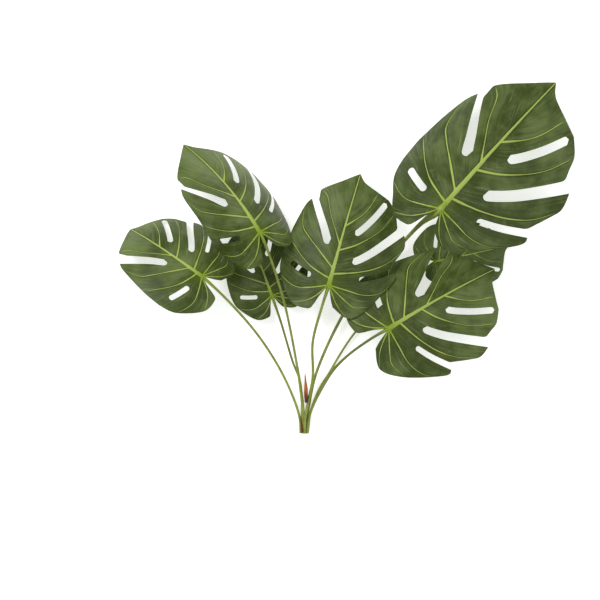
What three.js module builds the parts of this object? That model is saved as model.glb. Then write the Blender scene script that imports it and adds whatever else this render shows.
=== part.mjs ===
// A spray of seven monstera leaves on long stalks that are joined at one foot.
// Millimetres, +Z up. The spray lies on the plane Z = 0, with the foot towards -Y.
import * as THREE from 'three';
import { mergeVertices } from 'three/addons/utils/BufferGeometryUtils.js';

// Driving dimensions.
const BLADE_THICKNESS = 1.1;
const ROWS = 8; // steps from the midrib out to the margin
const STEPS_BETWEEN_LINES = 1.25; // mean steps from one flow line to the next
const CUT_START_ROW = 0.34; // share of the rows before a cut opens
const HOLE_END_ROW = 0.87; // share of the rows at which a hole has closed again
const MIDRIB_HALF_WIDTH = 0.006; // in midrib lengths
const STALK_SIDES = 8;
const STALK_GAP = 1.0; // clear space between a stalk's end and its blade

// Every blade comes from one mould. Points are [along the midrib, across it], in midrib
// lengths: the stalk joins at [0, 0] and the tip is just past [1, 0]. Flow lines run from the
// midrib out to the margin, listed from the basal lobe to the tip. A cut has its two ends and
// its half width at each end; without an outer end it opens through the margin.
const RIGHT_HALF = [
  { points: [[0, 0], [-0.06, 0.024], [-0.12, 0.048], [-0.176, 0.079]] },
  { points: [[0, 0], [-0.085, 0.058], [-0.155, 0.115], [-0.203, 0.178], [-0.23, 0.24]] },
  { points: [[0, 0], [-0.045, 0.078], [-0.095, 0.17], [-0.128, 0.262], [-0.085, 0.4]] },
  { points: [[0, 0], [-0.004, 0.16], [-0.006, 0.31], [0.035, 0.435], [0.11, 0.51], [0.19, 0.553]] },
  {
    points: [[0.05, 0], [0.075, 0.13], [0.112, 0.24], [0.185, 0.385], [0.28, 0.525]],
    cut: { inner: [0.112, 0.24], innerWidth: 0.022, outerWidth: 0.026 },
  },
  { points: [[0.1, 0], [0.135, 0.11], [0.178, 0.225], [0.25, 0.36], [0.355, 0.475], [0.5, 0.565]] },
  {
    points: [[0.165, 0], [0.244, 0.146], [0.345, 0.262], [0.48, 0.375], [0.645, 0.498]],
    cut: { inner: [0.24, 0.14], innerWidth: 0.03, outerWidth: 0.04 },
  },
  { points: [[0.31, 0], [0.385, 0.12], [0.485, 0.228], [0.61, 0.322], [0.79, 0.395]] },
  {
    points: [[0.41, 0], [0.495, 0.112], [0.655, 0.213], [0.83, 0.288], [0.872, 0.302]],
    cut: { inner: [0.478, 0.103], outer: [0.838, 0.29], innerWidth: 0.027, outerWidth: 0.026 },
  },
  { points: [[0.53, 0], [0.645, 0.1], [0.75, 0.155], [0.905, 0.195]] },
  { points: [[0.7, 0], [0.8, 0.05], [0.88, 0.08], [0.955, 0.062]] },
  { points: [[0.87, 0], [1.025, 0]] },
];
const LEFT_HALF = [
  { points: [[0, 0], [-0.056, -0.031], [-0.11, -0.054], [-0.185, -0.08]] },
  { points: [[0, 0], [-0.12, -0.062], [-0.238, -0.125]] },
  { points: [[0, 0], [-0.11, -0.08], [-0.18, -0.165], [-0.214, -0.281]] },
  { points: [[0, 0], [-0.053, -0.136], [-0.082, -0.252], [-0.06, -0.355], [-0.005, -0.452]] },
  {
    points: [[0.025, 0], [0.043, -0.17], [0.075, -0.28], [0.115, -0.38], [0.155, -0.487]],
    cut: { inner: [0.043, -0.17], outer: [0.113, -0.378], innerWidth: 0.025, outerWidth: 0.024 },
  },
  { points: [[0.055, 0], [0.108, -0.165], [0.18, -0.285], [0.26, -0.38], [0.34, -0.47]] },
  { points: [[0.145, 0], [0.26, -0.145], [0.365, -0.275], [0.46, -0.365], [0.63, -0.408]] },
  {
    points: [[0.235, 0], [0.355, -0.1], [0.475, -0.17], [0.605, -0.252], [0.735, -0.33]],
    cut: { inner: [0.345, -0.094], innerWidth: 0.034, outerWidth: 0.048 },
  },
  { points: [[0.36, 0], [0.485, -0.075], [0.61, -0.15], [0.755, -0.215], [0.815, -0.285]] },
  { points: [[0.58, 0], [0.71, -0.06], [0.83, -0.11], [0.925, -0.125]] },
  { points: [[0.87, 0], [1.025, 0]] },
];

// One entry for each leaf. base is where the stalk joins the blade, from the foot. heading
// is the midrib's compass angle from +X, pitch its slope at the base and at the tip, roll
// the tilt about it, and sweep how far the midrib turns to the left by its tip. fold and curl
// are the right and left halves' tilt at the midrib and how much more each turns on its way
// to the margin. Angles in degrees, down is negative. lobes is the size of the right and left
// basal lobes and mouth the left slits' width at the margin, both compared with the mould.
// route is the stalk's path from the foot, and radii its radius at the foot and the blade.
const LEAVES = [
  {
    name: 'far_left', length: 161, base: [-161, 250, 75], heading: 144, sweep: 5,
    pitch: [2, -56], roll: 22, fold: [4, 4], curl: [-43, -24], lobes: [1, 1], mouth: 1,
    radii: [2.0, 2.0],
    route: [[-6, 0, 6.2], [-8.2, 27, 8], [-31, 87, 18], [-70, 152, 37], [-119, 210, 60]],
  },
  {
    name: 'upper_left', length: 183, base: [-70, 319, 99], heading: 120.5, sweep: 19,
    pitch: [2, -26], roll: 12, fold: [-22, -16], curl: [-48, -62], lobes: [1, 1], mouth: 0.35,
    radii: [1.9, 2.0],
    route: [[-1.8, 0, 6.3], [-3, 45, 15], [-12, 109, 29], [-32, 209, 59], [-56, 286, 87]],
  },
  {
    name: 'inner_left', length: 130, base: [-52, 220, 25], heading: 110, sweep: 0,
    pitch: [0, -20], roll: 0, fold: [-4, -4], curl: [-14, -14], lobes: [1, 1], mouth: 1,
    radii: [1.8, 1.9],
    route: [[-4.2, 0, 2.3], [-6.5, 80, 9], [-19, 115, 13], [-38, 179, 19]],
  },
  {
    name: 'centre', length: 184, base: [38, 236, 80], heading: 75, sweep: -2,
    pitch: [-1, -22], roll: -1, fold: [-3, 0], curl: [-26, -40], lobes: [1, 1], mouth: 0.6,
    radii: [2.0, 2.2],
    route: [[0.5, 0, 10.2], [1.6, 27, 14.5], [13, 89, 29], [13, 146, 48], [27, 201, 69]],
  },
  {
    name: 'top_right', length: 271, base: [211, 354, 124], heading: 49, sweep: -3,
    pitch: [-9, -13], roll: -8, fold: [-16, -12], curl: [-22, -42], lobes: [0.7, 0.8], mouth: 0.45,
    radii: [2.2, 3.4],
    route: [
      [0.6, 0, 2.3], [7, 43, 7], [19, 97, 14], [60, 187, 20],
      [103, 250, 17], [129, 275, 20], [155, 303, 29], [183, 333, 78],
    ],
  },
  {
    name: 'hidden_right', length: 119, base: [208, 274, 13], heading: 12, sweep: 0,
    pitch: [0, -6], roll: 0, fold: [0, 0], curl: [-14, -14], lobes: [0.7, 1.05], mouth: 1,
    radii: [1.8, 1.8],
    route: [[5.2, 0, 2.1], [12, 42, 2.6], [40, 97, 4], [85, 166, 7], [153, 227, 8.6], [186, 255, 9]],
  },
  {
    name: 'lower_right', length: 199, base: [132, 168, 76], heading: 32, sweep: -6,
    pitch: [-10, -22], roll: -4, fold: [-10, -10], curl: [6, -18], lobes: [1, 1], mouth: 1,
    radii: [2.0, 2.2],
    route: [[2.9, 0, 6.4], [11, 38, 14], [36, 89, 29], [64, 121, 43], [105, 152, 66]],
  },
];

// Where the foot lies from the middle of the whole spray.
const FOOT = [-66.3, -277.7, 0];

const radians = THREE.MathUtils.degToRad;

const LEAF_GREEN = new THREE.MeshStandardMaterial({ color: 0x4a5c34, roughness: 0.55, metalness: 0 });
const STALK_GREEN = new THREE.MeshStandardMaterial({ color: 0x6f8a3c, roughness: 0.5, metalness: 0 });
const SHEATH_RED = new THREE.MeshStandardMaterial({ color: 0xb0581e, roughness: 0.6, metalness: 0 });
const SHEATH_BROWN = new THREE.MeshStandardMaterial({ color: 0x4a2f20, roughness: 0.7, metalness: 0 });

// A smooth flat curve through the points, measured along its length.
function flowLine(points) {
  const curve = new THREE.SplineCurve(points.map(([along, across]) => new THREE.Vector2(along, across)));
  curve.arcLengthDivisions = 300;
  return curve;
}

// The share of a curve's length at which it passes closest to a point.
function shareNearest(curve, [along, across]) {
  const target = new THREE.Vector2(along, across);
  let best = 0;
  let bestDistance = Infinity;
  for (let step = 0; step <= 200; step += 1) {
    const distance = curve.getPointAt(step / 200).distanceTo(target);
    if (distance < bestDistance) {
      bestDistance = distance;
      best = step / 200;
    }
  }
  return best;
}

// A half circle's height, which rounds a cut's end over a distance equal to its half width.
function roundedEnd(distance, width) {
  const inside = THREE.MathUtils.clamp(distance / width, 0, 1);
  return Math.sqrt(1 - (1 - inside) ** 2);
}

// Both edges of a cut, row by row. They are one line where the blade isn't cut.
function cutEdges({ points, cut }, side, leftMouth) {
  const curve = flowLine(points);
  const length = curve.getLength();
  const start = shareNearest(curve, cut.inner);
  const end = cut.outer ? shareNearest(curve, cut.outer) : 1;
  const endRow = cut.outer ? HOLE_END_ROW : 1;
  const mouth = cut.outer || side > 0 ? 1 : leftMouth;
  const outerWidth = cut.outerWidth * mouth;
  const edges = [[], []];
  for (let row = 0; row <= ROWS; row += 1) {
    const t = row / ROWS;
    const through = THREE.MathUtils.clamp((t - CUT_START_ROW) / (endRow - CUT_START_ROW), 0, 1);
    let share = start + (end - start) * through;
    if (t < CUT_START_ROW) share = (t / CUT_START_ROW) * start;
    if (t > endRow) share = end + ((t - endRow) / (1 - endRow)) * (1 - end);
    let width = THREE.MathUtils.lerp(cut.innerWidth, outerWidth, through);
    width *= roundedEnd((share - start) * length, cut.innerWidth);
    if (cut.outer) width *= roundedEnd((end - share) * length, outerWidth);
    const centre = curve.getPointAt(share);
    const tangent = curve.getTangentAt(share);
    const across = new THREE.Vector2(-tangent.y, tangent.x).multiplyScalar(width * side);
    edges[0].push(centre.clone().add(across));
    edges[1].push(centre.clone().sub(across));
  }
  return edges;
}

// The fingers of one half: each is a list of flow lines with the same number of rows.
function fingers(half, side, leftMouth) {
  const list = [[]];
  for (const line of half) {
    if (line.cut) {
      const [lower, upper] = cutEdges(line, side, leftMouth);
      list.at(-1).push(lower);
      list.push([upper]);
    } else {
      list.at(-1).push(flowLine(line.points).getSpacedPoints(ROWS));
    }
  }
  return list;
}

// A point part of the way along a list of points, on the straight lines between them.
function straightBetween(points, share) {
  const place = share * (points.length - 1);
  const first = Math.min(Math.floor(place), points.length - 2);
  return points[first].clone().lerp(points[first + 1], place - first);
}

// A finger's grid: at each row, a smooth curve across its flow lines. The midrib is straight.
function fingerGrid(lines) {
  const columns = Math.round((lines.length - 1) * STEPS_BETWEEN_LINES) + 1;
  const grid = [];
  for (let column = 0; column <= columns; column += 1) grid.push([]);
  for (let row = 0; row <= ROWS; row += 1) {
    const points = lines.map((line) => line[row]);
    const smooth = new THREE.SplineCurve(points);
    for (let column = 0; column <= columns; column += 1) {
      const share = column / columns;
      grid[column].push(row === 0 ? straightBetween(points, share) : smooth.getPoint(share));
    }
  }
  return grid;
}

// How far a strip has gone sideways and up when it starts at one slope and keeps turning.
function arc(distance, slope, turnPerLength) {
  const turn = Math.abs(turnPerLength) < 1e-6 ? 1e-6 : turnPerLength;
  const ahead = (Math.sin(slope + turn * distance) - Math.sin(slope)) / turn;
  const up = (Math.cos(slope) - Math.cos(slope + turn * distance)) / turn;
  return [ahead, up];
}

// The place of a mould point on a bent blade, measured from the foot.
function bladePoint(leaf, mouldAlong, mouldAcross) {
  const towardsLobe = THREE.MathUtils.clamp((0.3 - mouldAlong) / 0.4, 0, 1);
  const towardsRight = THREE.MathUtils.clamp(0.5 + mouldAcross / 0.2, 0, 1);
  const lobe = THREE.MathUtils.lerp(leaf.lobes[1], leaf.lobes[0], towardsRight);
  const size = 1 - (1 - lobe) * towardsLobe;
  const [along, across] = [mouldAlong * size, mouldAcross * size];
  const slope = radians(leaf.pitch[0]);
  const turn = radians(leaf.pitch[1] - leaf.pitch[0]);
  const [ahead, up] = along > 0
    ? arc(along, slope, turn)
    : [along * Math.cos(slope), along * Math.sin(slope)];
  const slopeHere = slope + turn * Math.max(along, 0);
  const half = across >= 0 ? 0 : 1;
  const [out, rise] = arc(Math.abs(across), radians(leaf.fold[half]), radians(leaf.curl[half]) / 0.5);
  const roll = radians(leaf.roll);
  const outSigned = Math.sign(across) * out;
  const swept = (Math.tan(radians(leaf.sweep)) / 2) * Math.max(along, 0) ** 2;
  const sideways = outSigned * Math.cos(roll) + rise * Math.sin(roll) - swept;
  const normal = rise * Math.cos(roll) - outSigned * Math.sin(roll);
  const forward = ahead - normal * Math.sin(slopeHere);
  const heading = radians(leaf.heading);
  return new THREE.Vector3(
    forward * Math.cos(heading) + sideways * Math.sin(heading),
    forward * Math.sin(heading) - sideways * Math.cos(heading),
    up + normal * Math.cos(slopeHere),
  ).multiplyScalar(leaf.length).add(new THREE.Vector3(...leaf.base));
}

// The points of a half along the midrib, from the stalk to the tip.
function spine(grids) {
  const starts = grids.flatMap((grid) => grid.map((column) => column[0]));
  const tipLine = grids.at(-1).at(-1).slice(1);
  return [...starts, ...tipLine];
}

// Triangles that fill the midrib strip between the two halves, taking the nearer point first.
function midribStrip(right, left, addTriangle) {
  let [i, j] = [0, 0];
  while (i + 1 < right.length || j + 1 < left.length) {
    const rightNext = j + 1 >= left.length || (i + 1 < right.length && right[i + 1].x <= left[j + 1].x);
    if (rightNext) {
      addTriangle(right[i], right[i + 1], left[j]);
      i += 1;
    } else {
      addTriangle(right[i], left[j + 1], left[j]);
      j += 1;
    }
  }
}

// The blade's middle surface as one welded sheet of triangles that face up.
function bladeSheet(leaf) {
  const positions = [];
  const addTriangle = (...corners) => {
    for (const corner of corners) positions.push(...bladePoint(leaf, corner.x, corner.y).toArray());
  };
  const spines = [[RIGHT_HALF, 1], [LEFT_HALF, -1]].map(([half, side]) => {
    const grids = fingers(half, side, leaf.mouth).map(fingerGrid);
    for (const point of new Set(grids.flat(2))) point.y += side * MIDRIB_HALF_WIDTH;
    for (const grid of grids) {
      for (let column = 0; column + 1 < grid.length; column += 1) {
        for (let row = 0; row < ROWS; row += 1) {
          const [a, b] = [grid[column][row], grid[column][row + 1]];
          const [d, c] = [grid[column + 1][row], grid[column + 1][row + 1]];
          addTriangle(...(side > 0 ? [a, b, c] : [a, c, b]));
          addTriangle(...(side > 0 ? [a, c, d] : [a, d, c]));
        }
      }
    }
    return spine(grids);
  });
  midribStrip(spines[0], spines[1], addTriangle);
  const sheet = new THREE.BufferGeometry();
  sheet.setAttribute('position', new THREE.Float32BufferAttribute(positions, 3));
  return dropSlivers(mergeVertices(sheet, 0.001));
}

// Removes the triangles that welding has closed up.
function dropSlivers(geometry) {
  const old = geometry.index.array;
  const kept = [];
  for (let start = 0; start < old.length; start += 3) {
    const [a, b, c] = old.slice(start, start + 3);
    if (a !== b && b !== c && c !== a) kept.push(a, b, c);
  }
  geometry.setIndex(kept);
  return geometry;
}

// Edges with a triangle on one side only, each in its own triangle's direction.
function openEdges(index) {
  const seen = new Map();
  for (let start = 0; start < index.length; start += 3) {
    for (let corner = 0; corner < 3; corner += 1) {
      const a = index[start + corner];
      const b = index[start + ((corner + 1) % 3)];
      const twin = `${b}_${a}`;
      if (seen.has(twin)) seen.delete(twin);
      else seen.set(`${a}_${b}`, [a, b]);
    }
  }
  return [...seen.values()];
}

// A sheet thickened to both sides along its normals and closed with walls at every edge.
function thicken(sheet, thickness) {
  sheet.computeVertexNormals();
  const position = sheet.attributes.position;
  const normal = sheet.attributes.normal;
  const count = position.count;
  const out = new Float32Array(count * 6);
  const point = new THREE.Vector3();
  const offset = new THREE.Vector3();
  for (let vertex = 0; vertex < count; vertex += 1) {
    point.fromBufferAttribute(position, vertex);
    offset.fromBufferAttribute(normal, vertex).multiplyScalar(thickness / 2);
    point.clone().add(offset).toArray(out, vertex * 3);
    point.clone().sub(offset).toArray(out, (count + vertex) * 3);
  }
  const top = [...sheet.index.array];
  const index = [...top];
  for (let start = 0; start < top.length; start += 3) {
    index.push(top[start] + count, top[start + 2] + count, top[start + 1] + count);
  }
  for (const [a, b] of openEdges(top)) {
    index.push(b, a, a + count);
    index.push(b, a + count, b + count);
  }
  const solid = new THREE.BufferGeometry();
  solid.setAttribute('position', new THREE.BufferAttribute(out, 3));
  solid.setIndex(index);
  solid.computeVertexNormals();
  return solid;
}

// A closed tube along a curve, its radius easing from the first end's to the last end's.
function taperedTube(curve, steps, firstRadius, lastRadius) {
  const frames = curve.computeFrenetFrames(steps, false);
  const positions = [];
  const index = [];
  for (let step = 0; step <= steps; step += 1) {
    const radius = THREE.MathUtils.lerp(firstRadius, lastRadius, step / steps);
    const centre = curve.getPointAt(step / steps);
    for (let side = 0; side < STALK_SIDES; side += 1) {
      const angle = (side / STALK_SIDES) * 2 * Math.PI;
      const point = centre.clone()
        .addScaledVector(frames.normals[step], Math.cos(angle) * radius)
        .addScaledVector(frames.binormals[step], Math.sin(angle) * radius);
      positions.push(...point.toArray());
    }
  }
  for (let step = 0; step < steps; step += 1) {
    for (let side = 0; side < STALK_SIDES; side += 1) {
      const next = (side + 1) % STALK_SIDES;
      const [a, b] = [step * STALK_SIDES + side, step * STALK_SIDES + next];
      index.push(a, b, b + STALK_SIDES);
      index.push(a, b + STALK_SIDES, a + STALK_SIDES);
    }
  }
  for (const [ring, flip] of [[0, true], [steps, false]]) {
    for (let side = 1; side + 1 < STALK_SIDES; side += 1) {
      const [a, b, c] = [0, side, side + 1].map((corner) => ring * STALK_SIDES + corner);
      index.push(...(flip ? [a, c, b] : [a, b, c]));
    }
  }
  const tube = new THREE.BufferGeometry();
  tube.setAttribute('position', new THREE.Float32BufferAttribute(positions, 3));
  tube.setIndex(index);
  tube.computeVertexNormals();
  return tube;
}

// The stalk runs along its route and stops just short of the blade's underside.
function stalkGeometry(leaf) {
  const points = leaf.route.map((point) => new THREE.Vector3(...point));
  const last = points.at(-1);
  const base = new THREE.Vector3(...leaf.base);
  base.z -= BLADE_THICKNESS / 2;
  const direction = base.clone().sub(last).normalize();
  const end = base.clone().addScaledVector(direction, -STALK_GAP - leaf.radii[1] * 0.6);
  end.z -= leaf.radii[1] + STALK_GAP;
  const curve = new THREE.CatmullRomCurve3([...points, end]);
  const steps = Math.round(curve.getLength() / 12);
  return taperedTube(curve, steps, leaf.radii[0], leaf.radii[1]);
}

const spray = new THREE.Group();
spray.position.set(...FOOT);

function addPiece(name, geometry, material) {
  const mesh = new THREE.Mesh(geometry, material.clone());
  mesh.name = name;
  spray.add(mesh);
}

for (const leaf of LEAVES) {
  addPiece(`leaf_${leaf.name}`, thicken(bladeSheet(leaf), BLADE_THICKNESS), LEAF_GREEN);
  addPiece(`stalk_${leaf.name}`, stalkGeometry(leaf), STALK_GREEN);
}

// The papery sheath of the next leaf, and the dry scale left on the foot.
const newSheath = new THREE.CatmullRomCurve3([
  new THREE.Vector3(2.4, 51, 22.8),
  new THREE.Vector3(2, 72, 29.5),
  new THREE.Vector3(0.6, 98, 39),
]);
addPiece('new_leaf_sheath', taperedTube(newSheath, 8, 2.4, 0.5), SHEATH_RED);
const footScale = new THREE.LineCurve3(new THREE.Vector3(-3.9, 1, 10.1), new THREE.Vector3(-5.5, 27, 13.2));
addPiece('foot_scale', taperedTube(footScale, 4, 1.3, 0.5), SHEATH_BROWN);

export default spray;
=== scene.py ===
# %% [markdown]
# # A spray of monstera leaves, lying on a table
#
# The object is seven split leaves on long stalks that are joined at one foot. Such sprays are
# moulded: every blade is pressed in the same die, in several sizes, so all of them have the
# same veins, slits and holes. That is why this file holds one flat mould and a function that
# bends it, instead of seven sculpted leaves.

# %% Load the imported model
import math
import bpy
import numpy as np
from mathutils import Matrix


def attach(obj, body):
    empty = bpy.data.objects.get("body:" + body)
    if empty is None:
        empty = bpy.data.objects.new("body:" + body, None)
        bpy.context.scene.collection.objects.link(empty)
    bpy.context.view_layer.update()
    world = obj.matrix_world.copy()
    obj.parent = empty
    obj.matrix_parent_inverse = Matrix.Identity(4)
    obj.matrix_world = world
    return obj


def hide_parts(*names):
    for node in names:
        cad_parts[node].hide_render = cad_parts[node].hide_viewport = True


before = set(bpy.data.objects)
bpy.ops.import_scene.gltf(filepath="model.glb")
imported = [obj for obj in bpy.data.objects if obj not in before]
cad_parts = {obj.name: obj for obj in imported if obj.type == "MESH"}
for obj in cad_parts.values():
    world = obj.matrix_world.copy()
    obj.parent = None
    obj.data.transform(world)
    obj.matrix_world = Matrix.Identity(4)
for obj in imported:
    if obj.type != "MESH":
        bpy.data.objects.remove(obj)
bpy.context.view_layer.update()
MM = 0.001
FOOT = np.array([-66.3, -277.7, 0.0])  # the foot from the middle of the spray, in mm

# %% [markdown]
# ## Camera
#
# The spray lies down, so the camera looks straight down on it. A long lens from four metres
# keeps the tall leaves from looking larger than the ones on the table.

# %% Camera
CAMERA_HEIGHT = 4.0
VIEW_WIDTH = 0.96  # metres of table across the picture
SENSOR = 36.0
VIEW_CENTRE = (-0.0735, -0.0649)

camera_data = bpy.data.cameras.new("camera")
camera_data.sensor_width = SENSOR
camera_data.lens = SENSOR * CAMERA_HEIGHT / VIEW_WIDTH
camera_data.clip_end = 30.0
camera = bpy.data.objects.new("camera", camera_data)
camera.location = (*VIEW_CENTRE, CAMERA_HEIGHT)
bpy.context.collection.objects.link(camera)
bpy.context.scene.camera = camera
print("lens in mm:", camera_data.lens)

# %% [markdown]
# ## The mould
#
# A leaf's shape is easiest to say along its veins, because the blade grew along them and the
# slits lie between them. Each half is a list of flow lines from the midrib out to the margin.
# Points are [along the midrib, across it], counted in midrib lengths: the stalk joins at
# (0, 0) and the tip is (1, 0). A vein has a strength, and a cut has its inner end, its outer
# end where it is a hole, and its half width at both ends.

# %% Flow lines of the two halves
RIGHT_HALF = [
    dict(points=[(0, 0), (-0.06, 0.024), (-0.12, 0.048), (-0.176, 0.079)]),
    dict(points=[(0, 0), (-0.085, 0.058), (-0.155, 0.115), (-0.203, 0.178), (-0.23, 0.24)], vein=0.7),
    dict(points=[(0, 0), (-0.045, 0.078), (-0.095, 0.17), (-0.128, 0.262), (-0.085, 0.4)], vein=0.85),
    dict(points=[(0, 0), (-0.004, 0.16), (-0.006, 0.31), (0.035, 0.435), (0.11, 0.51), (0.19, 0.553)],
         vein=1.0),
    dict(points=[(0.05, 0), (0.075, 0.13), (0.112, 0.24), (0.185, 0.385), (0.28, 0.525)],
         cut=dict(inner=(0.112, 0.24), widths=(0.022, 0.026))),
    dict(points=[(0.1, 0), (0.135, 0.11), (0.178, 0.225), (0.25, 0.36), (0.355, 0.475), (0.5, 0.565)],
         vein=1.0),
    dict(points=[(0.165, 0), (0.244, 0.146), (0.345, 0.262), (0.48, 0.375), (0.645, 0.498)],
         cut=dict(inner=(0.24, 0.14), widths=(0.03, 0.04))),
    dict(points=[(0.31, 0), (0.385, 0.12), (0.485, 0.228), (0.61, 0.322), (0.79, 0.395)], vein=1.0),
    dict(points=[(0.41, 0), (0.495, 0.112), (0.655, 0.213), (0.83, 0.288), (0.872, 0.302)],
         cut=dict(inner=(0.478, 0.103), outer=(0.838, 0.29), widths=(0.027, 0.026))),
    dict(points=[(0.53, 0), (0.645, 0.1), (0.75, 0.155), (0.905, 0.195)], vein=0.85),
    dict(points=[(0.7, 0), (0.8, 0.05), (0.88, 0.08), (0.955, 0.062)]),
    dict(points=[(0.87, 0), (1.025, 0)]),
]
LEFT_HALF = [
    dict(points=[(0, 0), (-0.056, -0.031), (-0.11, -0.054), (-0.185, -0.08)]),
    dict(points=[(0, 0), (-0.12, -0.062), (-0.238, -0.125)]),
    dict(points=[(0, 0), (-0.11, -0.08), (-0.18, -0.165), (-0.214, -0.281)], vein=0.8),
    dict(points=[(0, 0), (-0.053, -0.136), (-0.082, -0.252), (-0.06, -0.355), (-0.005, -0.452)], vein=0.9),
    dict(points=[(0.025, 0), (0.043, -0.17), (0.075, -0.28), (0.115, -0.38), (0.155, -0.487)],
         cut=dict(inner=(0.043, -0.17), outer=(0.113, -0.378), widths=(0.025, 0.024))),
    dict(points=[(0.055, 0), (0.108, -0.165), (0.18, -0.285), (0.26, -0.38), (0.34, -0.47)], vein=1.0),
    dict(points=[(0.145, 0), (0.26, -0.145), (0.365, -0.275), (0.46, -0.365), (0.63, -0.408)], vein=1.0),
    dict(points=[(0.235, 0), (0.355, -0.1), (0.475, -0.17), (0.605, -0.252), (0.735, -0.33)],
         cut=dict(inner=(0.345, -0.094), widths=(0.034, 0.048))),
    dict(points=[(0.36, 0), (0.485, -0.075), (0.61, -0.15), (0.755, -0.215), (0.815, -0.285)], vein=0.9),
    dict(points=[(0.58, 0), (0.71, -0.06), (0.83, -0.11), (0.925, -0.125)]),
    dict(points=[(0.87, 0), (1.025, 0)]),
]
print("flow lines:", len(RIGHT_HALF), "right,", len(LEFT_HALF), "left")

# %% [markdown]
# ## Curves on a grid
#
# Everything below is a spline read at many places at once. A Catmull-Rom spline passes through
# its points, so the lists above are places on the leaf and not handles beside it.

# %% Splines
def spline(points, place):
    """Catmull-Rom: a cubic between each two points, its slope there half the neighbours' gap.

    points has its points on the first axis; place runs from 0 to 1 over the whole list.
    """
    points = np.asarray(points, float)
    last = len(points) - 1
    place = np.clip(np.asarray(place, float) * last, 0, last)
    first = np.minimum(place.astype(int), last - 1)
    f = (place - first).reshape(-1, *[1] * (points.ndim - 1))
    before, a, b = points[np.maximum(first - 1, 0)], points[first], points[first + 1]
    after = points[np.minimum(first + 2, last)]
    slope_a, slope_b = (b - before) / 2, (after - a) / 2
    cubic = (2 * a - 2 * b + slope_a + slope_b) * f**3
    return cubic + (3 * b - 3 * a - 2 * slope_a - slope_b) * f**2 + slope_a * f + a


class FlowLine:
    """A spline read by the share of its length instead of by its points."""

    def __init__(self, points):
        """Reads the spline at many places and adds up the distances between them."""
        self.dense = spline(points, np.linspace(0, 1, 401))
        steps = np.linalg.norm(np.diff(self.dense, axis=0), axis=1)
        self.length = steps.sum()
        self.share = np.concatenate([[0], np.cumsum(steps)]) / self.length

    def at(self, share):
        """The places at these shares of the length."""
        return np.stack([np.interp(share, self.share, axis) for axis in self.dense.T], axis=-1)

    def nearest(self, point):
        """The share of the length at which the line passes nearest to a point."""
        return self.share[np.argmin(np.linalg.norm(self.dense - np.asarray(point), axis=1))]


lengths = [FlowLine(line["points"]).length for line in (*RIGHT_HALF, *LEFT_HALF)]
print(f"flow lines are {min(lengths):.2f} to {max(lengths):.2f} midrib lengths long")

# %% [markdown]
# ## Cuts
#
# A slit could be made with a boolean, but that leaves ragged triangles along a thin sheet.
# Here the grid itself parts: the two fingers beside a cut share one line where the blade is
# whole, and each has its own edge where it is open, half a width to either side. At an open
# slit the finger nearer the stalk ends in a point, and the one nearer the tip in a round corner.

# %% The two edges of a cut
ROWS = 64
CUT_START_ROW = 0.34  # share of the rows before a cut opens
HOLE_END_ROW = 0.87  # share of the rows at which a hole has closed again
ROW_BUNCH = 1.25  # above 1, rows are closer together near the midrib
END_ROWS = 0.16  # share of a cut's rows that round its ends
CORNER_SIZE = 0.05  # radius of each finger's corner at the open slit on its stalk side
SHORT_STEP = 1e-3  # for a direction, which is taken from the difference of two places

row_share = np.linspace(0, 1, ROWS + 1)


def rounded_end(distance, width):
    """The height of a half circle, reached over a distance equal to the half width."""
    inside = np.clip(distance / width, 0, 1)
    return np.sqrt(1 - (1 - inside) ** 2)


def rounded_corner(distance):
    """How far a quarter circle has turned aside, at a distance from the margin."""
    gone = np.clip(1 - distance / CORNER_SIZE, 0, 1)
    return CORNER_SIZE * (1 - np.sqrt(1 - gone**2))


def cut_edges(line, side, left_mouth):
    """The centre line, plus and minus the half width across it; returns (lower, upper) edges."""
    curve, cut = FlowLine(line["points"]), line["cut"]
    inner_width = cut["widths"][0]
    outer_width = cut["widths"][1] * (1 if "outer" in cut or side > 0 else left_mouth)
    start = curve.nearest(cut["inner"])
    end = curve.nearest(cut["outer"]) if "outer" in cut else 1.0
    start_row = np.round(CUT_START_ROW * ROWS) / ROWS
    end_row = np.round(HOLE_END_ROW * ROWS) / ROWS if "outer" in cut else 1.0
    through = np.clip((row_share - start_row) / (end_row - start_row), 0, 1)
    eased = ease_ends(through, inner_width / ((end - start) * curve.length), "outer" in cut)
    share = start + (end - start) * eased
    share = np.where(row_share < start_row, row_share / start_row * start, share)
    if end_row < 1:
        past = (row_share - end_row) / (1 - end_row)
        share = np.where(row_share > end_row, end + past * (1 - end), share)
    width = inner_width + (outer_width - inner_width) * eased
    width = width * rounded_end((share - start) * curve.length, inner_width)
    if "outer" in cut:
        width = width * rounded_end((end - share) * curve.length, outer_width)
    width[(row_share <= start_row) | ((row_share >= end_row) & (end_row < 1))] = 0
    corner = 0.0 if "outer" in cut else rounded_corner((1 - share) * curve.length)
    tangent = curve.at(np.clip(share + SHORT_STEP, 0, 1)) - curve.at(np.clip(share - SHORT_STEP, 0, 1))
    tangent /= np.linalg.norm(tangent, axis=1, keepdims=True)
    square = np.stack([-tangent[:, 1], tangent[:, 0]], axis=1) * side
    middle = curve.at(share)
    return middle + square * width[:, None], middle - square * (width + corner)[:, None]


def ease_ends(through, end_length, both):
    """Spends END_ROWS of the rows on each rounded end, spaced as a circle's points are."""
    turned = np.clip(through / END_ROWS, 0, 1)
    first = end_length * (1 - np.cos(turned * math.pi / 2))
    if both:
        tail = np.clip((1 - through) / END_ROWS, 0, 1)
        last = 1 - end_length * (1 - np.cos(tail * math.pi / 2))
        middle = end_length + (1 - 2 * end_length) * (through - END_ROWS) / (1 - 2 * END_ROWS)
        return np.where(through < END_ROWS, first, np.where(through > 1 - END_ROWS, last, middle))
    rest = end_length + (1 - end_length) * (through - END_ROWS) / (1 - END_ROWS)
    return np.where(through < END_ROWS, first, rest)


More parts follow.
